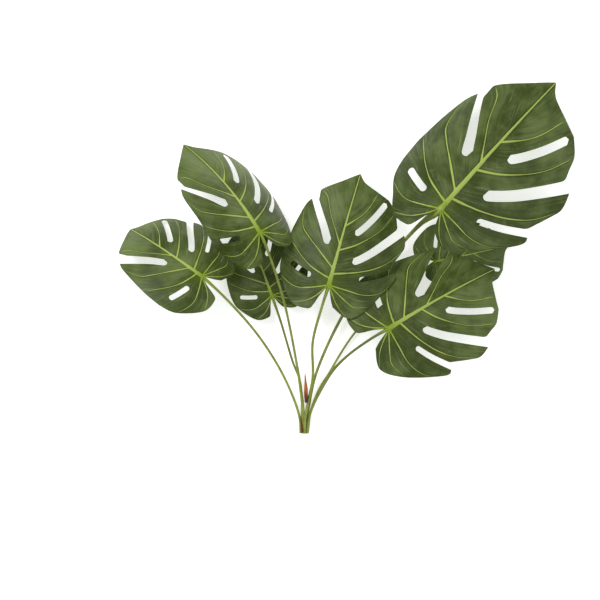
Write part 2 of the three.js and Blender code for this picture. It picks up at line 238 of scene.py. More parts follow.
print("cuts:", sum("cut" in line for line in (*RIGHT_HALF, *LEFT_HALF)))

# %% The fingers of one half
def fingers(half, side, left_mouth=1.0):
    """Groups of (line number, vein strength, points by row); a cut ends one and starts the next."""
    groups = [[]]
    for number, line in enumerate(half):
        if "cut" in line:
            lower, upper = cut_edges(line, side, left_mouth)
            groups[-1].append((number, 0.0, lower))
            groups.append([(number, 0.0, upper)])
        else:
            bunched = row_share**ROW_BUNCH if line.get("vein") else row_share
            points = FlowLine(line["points"]).at(bunched)
            groups[-1].append((number, line.get("vein", 0.0), points))
    return groups


print("fingers:", len(fingers(RIGHT_HALF, 1)), "right,", len(fingers(LEFT_HALF, -1)), "left")

# %% [markdown]
# ## Relief
#
# The die presses each vein into a shallow valley with a rounded rib along its floor, and the
# blade swells a little between veins. The relief is a height at each grid point, worked out
# from the distance to the two nearest veins and to the midrib.

# %% Relief of the flat mould
STEPS = 14  # columns between two flow lines
STEP_BUNCH = 0.88  # how much closer the columns are beside a line than between lines
MIDRIB_HALF = 0.0015  # half width of the strip that joins the two halves
# Places along a flow line or the midrib, and the rib's half widths there.
VEIN_HALF_WIDTHS = ((0, 0.1, 0.4, 1), (0.0115, 0.0078, 0.0046, 0.0027))
MIDRIB_HALF_WIDTHS = ((0, 0.12, 0.45, 1), (0.022, 0.0165, 0.0095, 0.004))
VALLEY_WIDTH = 0.035
VEIN_END = 0.98  # share of a flow line at which its vein has sunk into the blade
VEIN_FADE = 0.2  # share of a flow line over which it sinks


def ridge(distance, half_width):
    """A rounded ridge: one minus the square of the distance in half widths, never below zero."""
    return np.clip(1 - (distance / half_width) ** 2, 0, 1) ** 0.8


def finger_grid(group):
    """A smooth curve across the flow lines at each row, with the relief that belongs to it."""
    lines = np.array([points for _, _, points in group])
    strength = np.array([vein for _, vein, _ in group])
    steps = np.arange((len(group) - 1) * STEPS + 1)
    interval = np.minimum(steps // STEPS, len(group) - 2)
    f = steps / STEPS - interval
    f = f - STEP_BUNCH * np.sin(2 * math.pi * f) / (2 * math.pi)
    place = (interval + f) / (len(group) - 1)
    points = spline(lines, place)
    points[:, 0] = lines[interval, 0] * (1 - f)[:, None] + lines[interval + 1, 0] * f[:, None]
    rib = np.zeros(points.shape[:2])
    valley = np.zeros(points.shape[:2])
    fade = np.clip((VEIN_END - row_share) / VEIN_FADE, 0, 1) ** 0.5
    width = np.interp(row_share, *VEIN_HALF_WIDTHS)
    for side in (0, 1):
        distance = np.linalg.norm(points - lines[interval + side], axis=2)
        weight = strength[interval + side][:, None] * fade
        rib = np.maximum(rib, ridge(distance, width) * weight)
        valley = np.maximum(valley, np.exp(-distance / VALLEY_WIDTH) * weight)
    number = group[0][0] + interval + f
    return points, rib, valley, np.broadcast_to(number[:, None], rib.shape)


first_rib = finger_grid(fingers(RIGHT_HALF, 1)[0])[1]
print("first finger: columns and rows", first_rib.shape, "highest rib", first_rib.max().round(2))

# %% [markdown]
# ## One sheet
#
# The grids of both halves are put side by side and points at the same place become one
# vertex, so the fingers hang together exactly where the leaf does. The halves have different
# columns, so a strip of triangles along the midrib takes whichever next point is nearer.

# %% The mould as one welded sheet
def grid_triangles(columns, rows, first, side):
    """Two triangles for each cell, numbered from first, facing up on either half."""
    index = first + np.arange(columns * rows).reshape(columns, rows)
    a, b, c, d = index[:-1, :-1], index[:-1, 1:], index[1:, 1:], index[1:, :-1]
    cells = [(a, b, c), (a, c, d)] if side > 0 else [(a, c, b), (a, d, c)]
    return np.concatenate([np.stack([corner.ravel() for corner in cell], axis=1) for cell in cells])


def strip_triangles(right, left, along):
    """Joins two chains of vertices, in the order in which their points lie along the midrib."""
    order = np.argsort(np.concatenate([along[right[1:]], along[left[1:]]]), kind="stable")
    is_right = order < len(right) - 1
    i, j = np.cumsum(is_right), np.cumsum(~is_right)
    on_right = np.stack([right[i - 1], right[i], left[j]], axis=1)
    on_left = np.stack([right[i], left[j], left[j - 1]], axis=1)
    return np.where(is_right[:, None], on_right, on_left)


def make_mould(left_mouth):
    """Points, triangles, per-point numbers and rim edges of the flat leaf."""
    points, triangles, numbers, spines = [], [], [], []
    count = 0
    for half, side in ((RIGHT_HALF, 1), (LEFT_HALF, -1)):
        spine = []
        for group in fingers(half, side, left_mouth):
            grid, rib, valley, line = finger_grid(group)
            columns, rows = rib.shape
            grid[..., 1] += side * MIDRIB_HALF
            triangles.append(grid_triangles(columns, rows, count, side))
            spine.extend(count + np.arange(columns) * rows)
            row = np.broadcast_to(row_share, rib.shape)
            numbers.append(np.stack([rib, valley, side * line, row], axis=-1).reshape(-1, 4))
            points.append(grid.reshape(-1, 2))
            count += columns * rows
        spine.extend(count - len(row_share) + np.arange(1, len(row_share)))
        spines.append(np.array(spine))
    points, numbers = np.concatenate(points), np.concatenate(numbers)
    triangles.append(strip_triangles(*spines, points[:, 0]))
    points, triangles, numbers = weld(points, np.concatenate(triangles), numbers)
    return points, triangles, numbers, open_edges(triangles, len(points))


def weld(points, triangles, numbers):
    """Merges points at the same place and drops the triangles that this closes up."""
    _, keep, merged = np.unique(np.round(points, 7), axis=0, return_index=True, return_inverse=True)
    triangles = merged.ravel()[triangles]
    a, b, c = triangles.T
    whole = (a != b) & (b != c) & (c != a)
    return points[keep], triangles[whole], numbers[keep]


def open_edges(triangles, count):
    """Directed edges that no other triangle runs along the other way."""
    edges = np.concatenate([triangles[:, [0, 1]], triangles[:, [1, 2]], triangles[:, [2, 0]]])
    there = edges[:, 0] * count + edges[:, 1]
    back = edges[:, 1] * count + edges[:, 0]
    return edges[~np.isin(there, back)]


points, triangles, _, rim = make_mould(1.0)
print("mould:", len(points), "points,", len(triangles), "triangles,", len(rim), "rim edges")

# %% [markdown]
# ## Bending a blade
#
# A blade curves along its midrib and droops across it. Both bends are arcs: a slope that turns
# at an even rate. Bending by arcs keeps the lengths along and across the blade, as a real sheet
# does, where moving points up and down would stretch it. Only the basal lobes change size.

# %% Bend
LOBE_START = 0.3  # from here back to the lobes a blade takes on their size
LOBE_REACH = 0.4
LOBE_BLEND = 0.1  # distance from the midrib at which a blade has its own side's lobe size
CURL_WIDTH = 0.5  # distance across a half over which it turns by its curl


def arc(distance, slope, turn):
    """How far a strip has gone ahead and up: the cosine and sine of its slope, added up."""
    turn = np.where(np.abs(turn) < 1e-6, 1e-6, turn)
    ahead = (np.sin(slope + turn * distance) - np.sin(slope)) / turn
    return ahead, (np.cos(slope) - np.cos(slope + turn * distance)) / turn


def bend(leaf, along, across):
    """Places of mould points on a bent blade, in mm from the foot."""
    lobe = np.interp(across, [-LOBE_BLEND, LOBE_BLEND], leaf["lobes"][::-1])
    size = 1 - (1 - lobe) * np.clip((LOBE_START - along) / LOBE_REACH, 0, 1)
    along, across = along * size, across * size
    slope, tip_slope = np.radians(leaf["pitch"])
    turn = tip_slope - slope
    ahead, up = arc(np.maximum(along, 0), slope, turn)
    ahead = ahead + np.minimum(along, 0) * np.cos(slope)
    up = up + np.minimum(along, 0) * np.sin(slope)
    slope_here = slope + turn * np.maximum(along, 0)
    fold = np.radians(np.where(across >= 0, *leaf["fold"]))
    curl = np.radians(np.where(across >= 0, *leaf["curl"])) / CURL_WIDTH
    out, rise = arc(np.abs(across), fold, curl)
    out = out * np.sign(across)
    roll, heading = np.radians(leaf["roll"]), np.radians(leaf["heading"])
    swept = math.tan(math.radians(leaf["sweep"])) / 2 * np.maximum(along, 0) ** 2
    sideways = out * np.cos(roll) + rise * np.sin(roll) - swept
    normal = rise * np.cos(roll) - out * np.sin(roll)
    forward = ahead - normal * np.sin(slope_here)
    x = forward * np.cos(heading) + sideways * np.sin(heading)
    y = forward * np.sin(heading) - sideways * np.cos(heading)
    z = up + normal * np.cos(slope_here)
    return np.stack([x, y, z], axis=-1) * leaf["length"] + leaf["base"]


def face_normals(leaf, along, across):
    """Unit normals on the upper face, from two short steps on the bent blade."""
    forward = bend(leaf, along + SHORT_STEP, across) - bend(leaf, along - SHORT_STEP, across)
    side = np.where(across >= 0, 1, -1) * SHORT_STEP
    outward = (bend(leaf, along, across + side) - bend(leaf, along, across)) * np.sign(side)[:, None]
    normal = np.cross(outward, forward)
    return normal / np.linalg.norm(normal, axis=1, keepdims=True)


ahead, up = arc(1.0, 0.0, math.radians(-30))
print(f"a strip that turns down by 30 degrees goes {ahead:.3f} ahead and {-up:.3f} down")

# %% [markdown]
# ## The seven leaves
#
# base is where the stalk joins the blade, heading the midrib's compass angle, pitch its slope
# at the base and the tip, roll the tilt about it, and sweep how far it turns left by its tip.
# fold and curl tilt and droop the right and left halves. lobes is the size of the right and
# left basal lobes and mouth the left slits' width at the margin, both compared with the mould.
# route is the stalk's path from the foot and radii its radius at each end. Angles are in
# degrees, lengths in mm from the foot.

# %% Leaf list
LEAVES = [
    dict(name="far_left", length=161, base=(-161, 250, 75), heading=144, sweep=5,
         pitch=(2, -56), roll=22, fold=(4, 4), curl=(-43, -24),
         lobes=[1, 1], mouth=1, radii=(2.0, 2.0),
         route=[(-6, 0, 6.2), (-8.2, 27, 8), (-31, 87, 18), (-70, 152, 37), (-119, 210, 60)]),
    dict(name="upper_left", length=183, base=(-70, 319, 99), heading=120.5, sweep=19,
         pitch=(2, -26), roll=12, fold=(-22, -16), curl=(-48, -62),
         lobes=[1, 1], mouth=0.35, radii=(1.9, 2.0),
         route=[(-1.8, 0, 6.3), (-3, 45, 15), (-12, 109, 29), (-32, 209, 59), (-56, 286, 87)]),
    dict(name="inner_left", length=130, base=(-52, 220, 25), heading=110, sweep=0,
         pitch=(0, -20), roll=0, fold=(-4, -4), curl=(-14, -14),
         lobes=[1, 1], mouth=1, radii=(1.8, 1.9),
         route=[(-4.2, 0, 2.3), (-6.5, 80, 9), (-19, 115, 13), (-38, 179, 19)]),
    dict(name="centre", length=184, base=(38, 236, 80), heading=75, sweep=-2,
         pitch=(-1, -22), roll=-1, fold=(-3, 0), curl=(-26, -40),
         lobes=[1, 1], mouth=0.6, radii=(2.0, 2.2),
         route=[(0.5, 0, 10.2), (1.6, 27, 14.5), (13, 89, 29), (13, 146, 48), (27, 201, 69)]),
    dict(name="top_right", length=271, base=(211, 354, 124), heading=49, sweep=-3,
         pitch=(-9, -13), roll=-8, fold=(-16, -12), curl=(-22, -42),
         lobes=[0.7, 0.8], mouth=0.45, radii=(2.2, 3.4),
         route=[(0.6, 0, 2.3), (7, 43, 7), (19, 97, 14), (60, 187, 20), (103, 250, 17),
               (129, 275, 20), (155, 303, 29), (183, 333, 78)]),
    dict(name="hidden_right", length=119, base=(208, 274, 13), heading=12, sweep=0,
         pitch=(0, -6), roll=0, fold=(0, 0), curl=(-14, -14),
         lobes=[0.7, 1.05], mouth=1, radii=(1.8, 1.8),
         route=[(5.2, 0, 2.1), (12, 42, 2.6), (40, 97, 4), (85, 166, 7), (153, 227, 8.6),
               (186, 255, 9)]),
    dict(name="lower_right", length=199, base=(132, 168, 76), heading=32, sweep=-6,
         pitch=(-10, -22), roll=-4, fold=(-10, -10), curl=(6, -18),
         lobes=[1, 1], mouth=1, radii=(2.0, 2.2),
         route=[(2.9, 0, 6.4), (11, 38, 14), (36, 89, 29), (64, 121, 43), (105, 152, 66)]),
]
for leaf in LEAVES:
    leaf["base"] = np.array(leaf["base"], float)
print("leaves:", ", ".join(leaf["name"] for leaf in LEAVES))

# %% [markdown]
# ## From sheet to blade
#
# The sheet gets its relief and a thickness: the same vertices are used twice, pushed along the
# normal to the upper and the lower face, and a wall closes every open edge. Ribs stand out on
# both faces. Low waves, different on each leaf, keep the seven from looking like copies.

# %% Build a blade's mesh
THICKNESS = 0.8  # mm; the numbers below are in midrib lengths
RIB_HEIGHT = 0.0042
MIDRIB_HEIGHT = 0.0085
VALLEY_DEPTH = 0.0085
VALLEY_LEVEL = 0.4  # how sunk a point is that stays at its height
VALLEY_RISE = 0.4  # how much of a valley is gone at the margin
MIDRIB_TIP = 0.3  # the midrib's height at the tip, as a share of that at the stalk
WAVE = 0.009
RIB_START = 0.03  # the midrib begins this far behind the stalk
YOUNG_REACH = 0.16  # how far the deeper green around the stalk reaches
SHARP_EDGE = 60  # degrees
# How pale a blade is painted at the stalk and at the tip, from 0 to 1: partly its own tint, partly painted
# sheen.
TONES = dict(far_left=(0.3, 0.6), upper_left=(0.35, 0.9), inner_left=(0.25, 0.4), centre=(0.15, 0.65),
             top_right=(0.05, 0.5), hidden_right=(0.7, 0.9), lower_right=(0.15, 0.75))


def mesh_object(name, vertices, triangles, attributes=None, uv=None):
    """A smooth-shaded triangle mesh from arrays, in metres, with point attributes and a UV map."""
    mesh = bpy.data.meshes.new(name)
    mesh.vertices.add(len(vertices))
    mesh.vertices.foreach_set("co", np.asarray(vertices, np.float32).ravel())
    mesh.loops.add(triangles.size)
    mesh.loops.foreach_set("vertex_index", triangles.astype(np.int32).ravel())
    mesh.polygons.add(len(triangles))
    mesh.polygons.foreach_set("loop_start", np.arange(0, triangles.size, 3, dtype=np.int32))
    mesh.polygons.foreach_set("use_smooth", np.ones(len(triangles), bool))
    for key, values in (attributes or {}).items():
        mesh.attributes.new(key, "FLOAT", "POINT").data.foreach_set("value", values.astype(np.float32))
    if uv is not None:
        layer = mesh.uv_layers.new(name="flow")
        layer.uv.foreach_set("vector", uv[triangles.ravel()].astype(np.float32).ravel())
    mesh.update(calc_edges=True)
    mesh.validate()
    piece = bpy.data.objects.new(name, mesh)
    bpy.context.collection.objects.link(piece)
    return piece


def waves(leaf, along, across):
    """Two slow sines along the leaf, growing with the distance from the midrib."""
    phase = leaf["heading"] * 0.7
    first = np.sin(2 * math.pi * (1.1 * along) + phase + 1.5 * np.sign(across))
    second = np.sin(2 * math.pi * (2.3 * along + 0.8 * across) + 2.1 * phase)
    return (first + 0.6 * second) * np.abs(across)


def build_blade(leaf):
    """The bent mould, pushed along its normal by waves and valleys, then by half its thickness."""
    mould, mould_triangles, mould_numbers, mould_rim = make_mould(leaf["mouth"])
    along, across = mould.T
    rib, valley, line, row = mould_numbers.T
    midrib_width = np.interp(along, *MIDRIB_HALF_WIDTHS)
    on_blade = np.clip((along + RIB_START) / RIB_START, 0, 1)
    midrib = ridge(np.abs(across), midrib_width) * on_blade
    midrib_valley = np.exp(-np.abs(across) / VALLEY_WIDTH) * on_blade
    sunk = np.maximum(valley * (1 - VALLEY_RISE * row), midrib_valley)
    flatter = np.interp(along, [0, 1], [1, MIDRIB_TIP])
    raised = np.maximum(rib * RIB_HEIGHT, midrib * flatter * MIDRIB_HEIGHT)
    normal = face_normals(leaf, along, across)
    lift = (WAVE * waves(leaf, along, across) - VALLEY_DEPTH * (sunk - VALLEY_LEVEL)) * leaf["length"]
    sheet = bend(leaf, along, across) + normal * lift[:, None]
    half = THICKNESS / 2 + raised * leaf["length"]
    upper, lower = sheet + normal * half[:, None], sheet - normal * half[:, None]
    count = len(mould)
    a, b = mould_rim.T
    walls = np.concatenate([np.stack([b, a, a + count], 1), np.stack([b, a + count, b + count], 1)])
    triangles = np.concatenate([mould_triangles, mould_triangles[:, ::-1] + count, walls])
    attributes = dict(
        vein=np.tile(np.maximum(rib, midrib), 2),
        valley=np.tile(np.maximum(valley, midrib_valley), 2),
        young=np.tile(np.exp(-np.hypot(along, across) / YOUNG_REACH), 2),
        under=np.repeat([0.0, 1.0], count),
        tone=np.tile(np.interp(along, [0, 1], TONES[leaf["name"]]), 2),
    )
    uv = np.tile(np.stack([line, row], axis=1), (2, 1))
    vertices = (np.concatenate([upper, lower]) + FOOT) * MM
    piece = mesh_object(f"blade_{leaf['name']}", vertices, triangles, attributes, uv)
    piece.data.set_sharp_from_angle(angle=math.radians(SHARP_EDGE))
    return piece


blades = {leaf["name"]: build_blade(leaf) for leaf in LEAVES}
for name, blade in blades.items():
    lowest = min(vertex.co.z for vertex in blade.data.vertices)
    print(f"blade {name}: {len(blade.data.polygons)} triangles, lowest {lowest / MM:.1f} mm")

# %% [markdown]
# ## Stalks
#
# A stalk could be a bevelled curve, but a mesh tube can also thicken where it meets the blade
# and carry the faint ridges that the mould leaves along it. Its centre line is a spline through
# the route's points, spaced by the distance between them, so that it doesn't overshoot.

# %% A tube along a route
TUBE_SIDES = 20
TUBE_STEP = 2.5  # mm
CURVE_STEPS = 60  # places on a route between two of its points


def route_curve(points):
    """A spline whose pieces last as long as the square root of the distance between points."""
    points = np.asarray(points, float)
    points = np.vstack([2 * points[0] - points[1], points, 2 * points[-1] - points[-2]])
    knots = np.sqrt(np.linalg.norm(np.diff(points, axis=0), axis=1))
    dense = []
    for k in range(1, len(points) - 2):
        before, span, after = knots[k - 1 : k + 2]
        p0, p1, p2, p3 = points[k - 1 : k + 3]
        slope_1 = ((p1 - p0) / before - (p2 - p0) / (before + span) + (p2 - p1) / span) * span
        slope_2 = ((p2 - p1) / span - (p3 - p1) / (span + after) + (p3 - p2) / after) * span
        f = np.linspace(0, 1, CURVE_STEPS, endpoint=False)[:, None]
        cubic = (2 * p1 - 2 * p2 + slope_1 + slope_2) * f**3
        dense.append(cubic + (3 * p2 - 3 * p1 - 2 * slope_1 - slope_2) * f**2 + slope_1 * f + p1)
    dense = np.vstack([*dense, points[-2]])
    gone = np.concatenate([[0], np.cumsum(np.linalg.norm(np.diff(dense, axis=0), axis=1))])
    even = np.linspace(0, gone[-1], max(8, int(gone[-1] / TUBE_STEP)))
    return np.stack([np.interp(even, gone, axis) for axis in dense.T], axis=1)


def tube(centre, radius, sides=TUBE_SIDES, flatten=1.0):
    """Rings at right angles to the path: centre + radius (cos a, flatten sin a), both ends closed.

    radius is an array of steps by sides. Each ring's first direction stays level with the table.
    """
    tangent = np.gradient(centre, axis=0)
    tangent /= np.linalg.norm(tangent, axis=1, keepdims=True)
    level = np.cross(np.array([0, 0, 1.0]), tangent)
    level /= np.linalg.norm(level, axis=1, keepdims=True)
    up = np.cross(tangent, level)
    angle = np.arange(sides) * 2 * math.pi / sides
    spread = level[:, None] * np.cos(angle)[:, None] + up[:, None] * (flatten * np.sin(angle))[:, None]
    rings = centre[:, None] + spread * radius[..., None]
    steps = len(centre)
    index = np.arange(steps * sides).reshape(steps, sides)
    a, b = index[:-1], np.roll(index, -1, axis=1)[:-1]
    d, c = index[1:], np.roll(index, -1, axis=1)[1:]
    quads = [np.stack([a, c, d], -1), np.stack([a, b, c], -1)]
    caps = [end_cap(index[0][::-1], steps * sides), end_cap(index[-1], steps * sides + 1)]
    triangles = np.concatenate([*(q.reshape(-1, 3) for q in quads), *caps])
    vertices = np.concatenate([rings.reshape(-1, 3), centre[[0, -1]]])
    return vertices, triangles


def end_cap(ring, middle):
    """A fan from a middle vertex to each edge of a ring."""
    return np.stack([ring, np.roll(ring, -1), np.full(len(ring), middle)], axis=1)


print("points on a straight 100 mm route:", len(route_curve([(0, 0, 0), (100, 0, 0)])))

# %% Build the stalks
BLADE_JOIN = 0.05  # how far the stalk runs on under the midrib, in midrib lengths
JOIN_DROP = 0.75  # how far it lies below the blade there, in its own radii
JOIN_RISE = 1.0  # mm that it rises on its way under the midrib
COLLAR = (0.94, 0.05, 0.3)  # the swelling below the blade: place, spread and how much
THIN_START = 0.97  # share of the stalk at which it starts to thin to its end
THIN_LENGTH = 0.03
THIN_SHARE = 0.55
# Where a stalk is wider than its two radii say: place, spread and how much.
WINGS = dict(lower_right=(0.34, 0.13, 0.75), upper_left=(0.13, 0.13, 0.45), centre=(0.2, 0.12, 0.2),
             top_right=(0.95, 0.1, 0.5))
# How dark a stalk is painted at the foot and at the blade, from 0 to 1: painted shade.
SHADES = dict(far_left=(0.1, 0.2), upper_left=(0.05, 0.5), inner_left=(0.3, 0.7), centre=(0.1, 0.3),
              top_right=(0.2, 0.45), hidden_right=(0.1, 0.4), lower_right=(0.3, 0.8))


def swelling(share, place, spread, much):
    """A bell curve along the stalk: much times e to the minus square of the distance in spreads."""
    return much * np.exp(-(((share - place) / spread) ** 2))


def build_stalk(leaf):
    """A tube along the route whose radius grows with the square of the way, with faint ridges."""
    under = np.array([0, 0, -leaf["radii"][1] * JOIN_DROP])
    heading = math.radians(leaf["heading"])
    slope = math.radians(leaf["pitch"][0])
    forward = np.array([math.cos(heading), math.sin(heading), math.sin(slope)])
    join = leaf["base"] + under
    end = join + forward * BLADE_JOIN * leaf["length"] + [0, 0, JOIN_RISE]
    centre = route_curve([*leaf["route"], join, end])
    share = np.linspace(0, 1, len(centre))
    first, last = leaf["radii"]
    pointed = THIN_SHARE * np.clip((share - THIN_START) / THIN_LENGTH, 0, 1)
    collar = 1 + swelling(share, *COLLAR) - pointed
    wing = 1 + swelling(share, *WINGS.get(leaf["name"], (0, 1, 0)))
    radius = (first + (last - first) * share**2) * collar * wing
    angle = np.arange(TUBE_SIDES) * 2 * math.pi / TUBE_SIDES
    ridged = 1 + 0.035 * np.cos(3 * angle + 0.4) + 0.02 * np.cos(5 * angle + share[:, None] * 9)
    vertices, triangles = tube(centre, radius[:, None] * ridged)
    young = np.append(np.repeat(share, TUBE_SIDES), [0.0, 1.0])
    flesh = np.zeros(len(vertices))
    flesh[-2] = 1.0
    vertices = (vertices + FOOT) * MM
    vertices[:, 2] = np.maximum(vertices[:, 2], 0.0)
    shade = np.interp(young, [0, 1], SHADES[leaf["name"]])
    attributes = dict(young=young, flesh=flesh, shade=shade)
    return mesh_object(f"petiole_{leaf['name']}", vertices, triangles, attributes)


stalks = {leaf["name"]: build_stalk(leaf) for leaf in LEAVES}
print("stalks:", {name: len(stalk.data.polygons) for name, stalk in stalks.items()})

# %% [markdown]
# ## Sheaths
#
# A monstera's next leaf comes out of a papery sheath, and the foot keeps a dry scale from an
# older one. The sheath is a rolled leaf, so it is a tube whose radius closes to a point, with
# one edge that lies over the other. The scale is a thin curved strip on the stalks.

# %% Build the sheath and the scale
SHEATH_ROUTE = [(2.4, 50, 22.6), (2.3, 60, 26), (2.0, 74, 30.5), (1.2, 88, 35.5), (0.6, 98, 39.2)]
SHEATH_RADIUS = 3.1
SCALE_ROUTE = [(-3.7, 0.8, 10.2), (-4.2, 9, 11), (-5, 18, 12), (-5.7, 27.5, 13)]
SCALE_RADIUS = 1.75


def build_sheath():
    """A tube that swells and closes to a point; its radius steps where the roll's edge lies."""
    centre = route_curve(SHEATH_ROUTE)
    share = np.linspace(0, 1, len(centre))[:, None]
    sides = 32
    angle = np.arange(sides) / sides
    belly = 0.62 + 0.38 * np.sin(math.pi * np.clip(share * 1.4, 0, 1))
    swell = SHEATH_RADIUS * belly * (1 - share**2.6) + 0.3
    turned = np.mod(angle[None] + 0.35 * share + 0.1, 1)
    overlap = 1 + 0.16 * (turned - 0.5) - 0.03 * np.cos(2 * math.pi * 7 * turned)
    vertices, triangles = tube(centre, swell * overlap, sides, flatten=0.85)
    height = np.append(np.repeat(share[:, 0], sides), [0.0, 1.0])
    return mesh_object("rolled_sheath", (vertices + FOOT) * MM, triangles, dict(height=height))


def build_scale():
    """A flattened tube that closes to a point, with a slightly uneven edge."""
    centre = route_curve(SCALE_ROUTE)
    share = np.linspace(0, 1, len(centre))[:, None]
    sides = 24
    angle = np.arange(sides) * 2 * math.pi / sides
    width = SCALE_RADIUS * (1 - share**3) * (0.8 + 0.2 * np.sin(math.pi * share)) + 0.1
    edge = 1 + 0.06 * np.sin(5 * angle[None] + 7 * share)
    vertices, triangles = tube(centre, width * edge, sides, flatten=0.38)
    height = np.append(np.repeat(share[:, 0], sides), [0.0, 1.0])
    return mesh_object("dry_scale", (vertices + FOOT) * MM, triangles, dict(height=height))


sheath, scale = build_sheath(), build_scale()
print("sheath and scale:", len(sheath.data.polygons), "and", len(scale.data.polygons), "triangles")

# %% [markdown]
# ## Materials
#
# One function adds a node with its settings and its links, and one turns an sRGB hex colour
# into the linear one that Blender works with.

# %% Node and colour helpers
def colour(code):
    """sRGB to linear, channel by channel: a short straight stretch, then a 2.4 power."""
    parts = [int(code[i : i + 2], 16) / 255 for i in (0, 2, 4)]
    return (*(p / 12.92 if p <= 0.04045 else ((p + 0.055) / 1.055) ** 2.4 for p in parts), 1.0)


def add_node(tree, kind, settings=None, **inputs):
    """A node whose inputs are values or (node, output) pairs.

    An underscore in an input's name stands for a space, and i with a number is its number.
    """
    node = tree.nodes.new(kind)
    for key, value in (settings or {}).items():
        setattr(node, key, value)
    for key, value in inputs.items():
        numbered = key[0] == "i" and key[1:].isdigit()
        socket = node.inputs[int(key[1:]) if numbered else key.replace("_", " ")]
        if isinstance(value, tuple) and isinstance(value[0], bpy.types.Node):
            tree.links.new(value[0].outputs[value[1]], socket)
        else:
            socket.default_value = value
    return node


def new_material(name):
    """A material with its node tree and its Principled shader."""
    material = bpy.data.materials.new(name)
    material.use_nodes = True
    tree = material.node_tree
    return material, tree, tree.nodes["Principled BSDF"]


def mix(tree, factor, first, second):
    """Two colours mixed by a factor; each may be a colour or a (node, output) pair."""
    return add_node(tree, "ShaderNodeMix", dict(data_type="RGBA"), i0=factor, i6=first, i7=second), 2


def math_node(tree, operation, first, second, third=0.0):
    """One sum on numbers: for MULTIPLY_ADD it is first times second, plus third."""
    return add_node(tree, "ShaderNodeMath", dict(operation=operation), i0=first, i1=second, i2=third), 0


def ramp(tree, value, low, high):
    """Moves a value's range from low..high to 0..1, smoothly."""
    node = add_node(tree, "ShaderNodeMapRange", dict(interpolation_type="SMOOTHSTEP"), Value=value)
    node.inputs["From Min"].default_value = low
    node.inputs["From Max"].default_value = high
    return node, 0


print("a mid green, linear:", [round(part, 3) for part in colour("66763f")[:3]])

# %% [markdown]
# ### Leaf: coated PEVA film
#
# Artificial monstera blades are pressed from a soft plastic film and printed with their greens.
# The print is a greyer, lighter green in cloudy patches, with fine lines along the veins. Beside
# the veins the green is a deep yellow-green: partly print, partly painted shade in the valleys
# that the veins are pressed into. Pale grey-green streaks along the veins are painted sheen. Some
# blades are paler than others, and paler towards the tip: the attribute tone says how much, partly
# the blades' own tints and partly painted sheen. The ribs are printed yellow-green, deepest at the
# stalk. The film has a satin face above and is paler below.

# %% Leaf material
def leaf_material():
    """Mixes of print and painted light, each over the one before; the ribs come last but the underside."""
    material, tree, shader = new_material("peva_leaf_film")
    place = add_node(tree, "ShaderNodeTexCoord")
    flow = add_node(tree, "ShaderNodeUVMap", dict(uv_map="flow"))
    vein, valley, young, under, tone = (
        (add_node(tree, "ShaderNodeAttribute", dict(attribute_name=key)), "Fac")
        for key in ("vein", "valley", "young", "under", "tone")
    )
    # Printed clouds about 45 mm across, and softer ones of 14 mm.
    here = (place, "Object")
    broad = add_node(tree, "ShaderNodeTexNoise", Vector=here, Scale=22.0, Detail=2.0, Roughness=0.55)
    small = add_node(tree, "ShaderNodeTexNoise", Vector=here, Scale=70.0, Detail=3.0, Roughness=0.6)
    # Lines along the veins: about forty between two veins, and long.
    along = add_node(tree, "ShaderNodeMapping", Vector=(flow, 0), Scale=(36.0, 1.5, 1.0))
    lines = add_node(tree, "ShaderNodeTexNoise", Vector=(along, 0), Scale=1.0, Detail=2.0, Roughness=0.6)
    # Streaks along the veins: the pale grey-green on them is painted sheen, and their bump catches the
    # lamps.
    streak = add_node(tree, "ShaderNodeMapping", Vector=(flow, 0), Scale=(5.0, 2.2, 1.0))
    sheen_streaks = add_node(tree, "ShaderNodeTexNoise", Vector=(streak, 0), Scale=1.0, Detail=3.0, Roughness=0.6)
    # How pale the green is: printed clouds, plus the tone and the streaks, which add painted sheen.
    pale = math_node(tree, "MULTIPLY_ADD", tone, 0.45, (broad, 0))
    pale = math_node(tree, "MULTIPLY_ADD", (sheen_streaks, 0), 0.5, pale)
    green = mix(tree, ramp(tree, pale, 0.72, 1.22), colour("37450e"), colour("66763f"))
    green = mix(tree, ramp(tree, (small, 0), 0.45, 1.1), green, colour("6b7b4c"))
    green = mix(tree, ramp(tree, (lines, 0), 0.52, 0.85), green, colour("6d7d52"))
    green = mix(tree, ramp(tree, (lines, 0), 0.46, 0.12), green, colour("2b3809"))
    # Painted sheen: pale grey-green where the streaks are highest.
    green = mix(tree, ramp(tree, (sheen_streaks, 0), 0.62, 0.9), green, colour("8b9a76"))
    # Painted shade, partly print: deep green in the valleys beside the veins.
    green = mix(tree, ramp(tree, valley, 0.5, 1.0), green, colour("2b3807"))
    near_stalk = ramp(tree, young, 0.3, 1.0)
    green = mix(tree, near_stalk, green, colour("4a5e0e"))
    rib = mix(tree, near_stalk, colour("a6b858"), colour("829a20"))
    top = mix(tree, ramp(tree, vein, 0.1, 0.45), green, rib)
    below = mix(tree, ramp(tree, vein, 0.15, 0.6), colour("66764a"), colour("93a45f"))
    both = mix(tree, under, top, below)
    tree.links.new(both[0].outputs[both[1]], shader.inputs["Base Color"])
    shine = add_node(tree, "ShaderNodeMapRange", Value=(small, 0))
    shine.inputs["To Min"].default_value = 0.34
    shine.inputs["To Max"].default_value = 0.5
    tree.links.new(shine.outputs[0], shader.inputs["Roughness"])
    shader.inputs["Specular IOR Level"].default_value = 0.22
    grain = add_node(tree, "ShaderNodeBump", Height=(lines, 0), Strength=0.2, Distance=0.0006)
    bump = add_node(tree, "ShaderNodeBump", Height=(sheen_streaks, 0), Strength=0.25, Distance=0.003)
    tree.links.new(grain.outputs[0], bump.inputs["Normal"])
    tree.links.new(bump.outputs[0], shader.inputs["Normal"])
    return material


leaf_film = leaf_material()
print("leaf material:", len(leaf_film.node_tree.nodes), "nodes")
